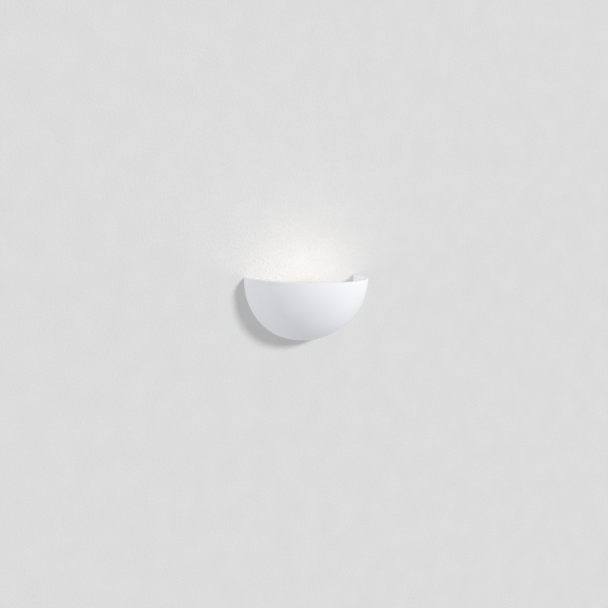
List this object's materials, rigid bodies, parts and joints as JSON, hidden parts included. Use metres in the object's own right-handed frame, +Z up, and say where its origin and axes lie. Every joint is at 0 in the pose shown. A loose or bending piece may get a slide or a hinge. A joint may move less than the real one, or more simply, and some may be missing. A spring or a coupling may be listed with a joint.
{
  "type": "uplighter wall sconce",
  "caption": "Half-bowl uplighter wall light: a matt white cast bowl that lifts off a steel wall plate, over a tilted screw-in lampholder and LED bulb.",
  "frame": {"origin": "middle of the wall plate's two screw slots, on the wall plane", "axes": "+Z up, -Y out of the wall towards the room, +X to the right seen from the room"},
  "size_m": [0.3, 0.165, 0.15],
  "materials": {
    "white_ceramic": "unglazed, smooth matt",
    "zinc_plated_steel": "zinc plated, satin",
    "screw_steel": "bright zinc",
    "brass": "turned",
    "black_nylon": "moulded, satin",
    "white_nylon": "moulded, translucent satin",
    "white_phenolic": "moulded, semi-gloss",
    "white_porcelain": "glazed",
    "nickel_plate": "nickel plated",
    "tinned_copper": "tinned",
    "solder": "dull solder",
    "black_glass": "vitrified black",
    "white_polycarbonate": "moulded, semi-gloss",
    "opal_polycarbonate": "opal, lit",
    "board_aluminium": "white solder mask",
    "led_phosphor": "phosphor, lit",
    "green_board": "glass-fibre board",
    "component_black": "moulded",
    "silicone": "soft clear",
    "felt": "pressed felt",
    "brown_pvc": "smooth",
    "blue_pvc": "smooth",
    "green_yellow_pvc": "smooth"
  },
  "bodies": {
    "wall_bracket": {"wall_plate": "zinc_plated_steel", "cable_bush": "black_nylon", "lamp_arm": "zinc_plated_steel", "arm_screws": "screw_steel", "earth_screw": "screw_steel", "earth_washer": "screw_steel", "earth_ring": "tinned_copper", "terminal_block": "white_nylon", "terminal_fixings": "screw_steel", "terminal_inserts": "brass", "terminal_screws": "screw_steel", "lamp_nipple": "zinc_plated_steel", "nipple_washer": "screw_steel", "nipple_nut": "brass", "lampholder_cap": "white_phenolic", "lampholder_barrel": "white_phenolic", "lampholder_insert": "white_porcelain", "lampholder_shell": "nickel_plate", "lampholder_terminals": "brass", "lampholder_terminal_screws": "screw_steel", "lampholder_centre_contact": "brass", "lampholder_side_contact": "brass", "live_wire": "brown_pvc", "neutral_wire": "blue_pvc", "earth_wire": "green_yellow_pvc"},
    "shade": {"shade": "white_ceramic", "shade_inserts": "brass", "hanger_screws": "screw_steel", "hanger_sleeves": "silicone", "wall_pads": "felt"},
    "bulb_tip": {"bulb_tip_contact": "solder"},
    "bulb": {"bulb_cap_insulator": "black_glass", "bulb_cap_shell": "nickel_plate", "bulb_housing": "white_polycarbonate", "bulb_globe": "opal_polycarbonate", "led_board": "board_aluminium", "led_chips": "led_phosphor", "driver_board": "green_board", "driver_parts": "component_black"}
  },
  "joints": [
    {"name": "shade_lift", "type": "slide", "parent": "wall_bracket", "child": "shade", "axis": [0, 0, 1], "range_m": [0, 0.018]},
    {"name": "bulb_out", "type": "slide", "parent": "wall_bracket", "child": "bulb_tip", "axis": [0, -0.766, 0.6428], "range_m": [0, 0.0146]},
    {"name": "bulb_turn", "type": "hinge", "parent": "bulb_tip", "child": "bulb", "pos_m": [0, -0.027, -0.052], "axis": [0, -0.766, 0.6428], "range_deg": [0, 1440]}
  ],
  "couplings": [
    {"joint": "bulb_out", "follows": "bulb_turn", "m_per_rad": 0.00057773}
  ]
}
